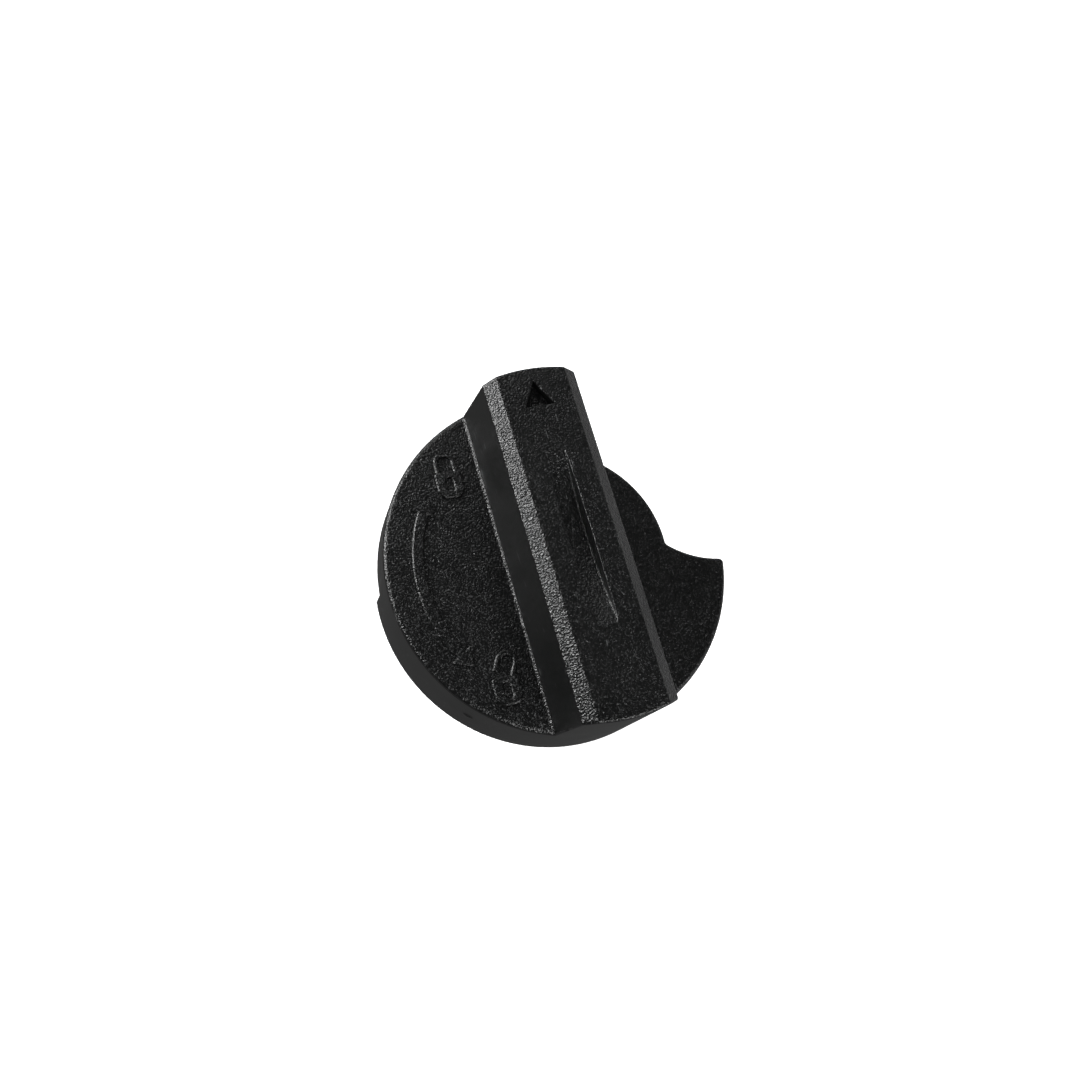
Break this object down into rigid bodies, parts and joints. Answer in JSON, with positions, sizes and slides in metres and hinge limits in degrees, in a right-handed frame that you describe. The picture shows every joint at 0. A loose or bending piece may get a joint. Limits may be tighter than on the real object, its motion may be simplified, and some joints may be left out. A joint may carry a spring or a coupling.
{
  "type": "battery switch",
  "caption": "Panel-mounted quarter-turn battery switch: black grip-bar knob with coin slot, pointer and notched skirt over a small sealed contact housing with threaded terminals.",
  "frame": {"origin": "on the knob's turning axis, in the plane of the panel's rear face, where the panel gasket seats", "axes": "+Z along the turning axis out of the front of the panel, +Y along the grip bar to its pointer end at rest, +X to the notched side of the skirt"},
  "size_m": [0.0345, 0.035, 0.0452],
  "materials": {
    "knob_plastic": "near-black moulded nylon, fine spark-eroded grain",
    "housing_plastic": "dark grey glass-filled nylon",
    "cover_plastic": "dark grey glass-filled nylon",
    "rotor_plastic": "natural acetal",
    "washer_nylon": "natural nylon",
    "seal_rubber": "matte black nitrile",
    "spindle_steel": "turned stainless steel",
    "spring_steel": "cold-rolled stainless spring steel",
    "plated_steel": "bright zinc plate",
    "bush_brass": "nickel-plated brass",
    "stud_brass": "turned brass, tinned threads",
    "contact_copper": "half-hard copper strip"
  },
  "bodies": {
    "base": {"housing": "housing_plastic", "threaded_bush": "bush_brass", "thrust_washer": "washer_nylon", "panel_gasket": "seal_rubber", "lock_washer": "plated_steel", "panel_nut": "bush_brass", "cover_gasket": "seal_rubber", "base_cover": "cover_plastic", "cover_screws": "plated_steel", "battery_stud": "stud_brass", "load_stud": "stud_brass", "stud_washers": "plated_steel", "spring_washers": "plated_steel", "stud_nuts": "plated_steel"},
    "knob_body": {"knob": "knob_plastic", "knob_clip": "spring_steel", "spindle": "spindle_steel", "spindle_seal": "seal_rubber", "circlip": "spring_steel", "click_spring": "spring_steel", "rotor": "rotor_plastic", "contact_springs": "spring_steel"},
    "bridge_body": {"contact_bridge": "contact_copper"}
  },
  "joints": [
    {"name": "knob_turn", "type": "hinge", "parent": "base", "child": "knob_body", "pos_m": [0, 0, 0], "axis": [0, 0, 1], "range_deg": [-90, 0], "deforming": ["click_spring"]},
    {"name": "bridge_lift", "type": "slide", "parent": "knob_body", "child": "bridge_body", "axis": [0, 0, 1], "range_m": [0, 0.0006], "stiffness_N_per_m": 120, "springref_m": -0.002, "deforming": ["contact_springs"]}
  ]
}
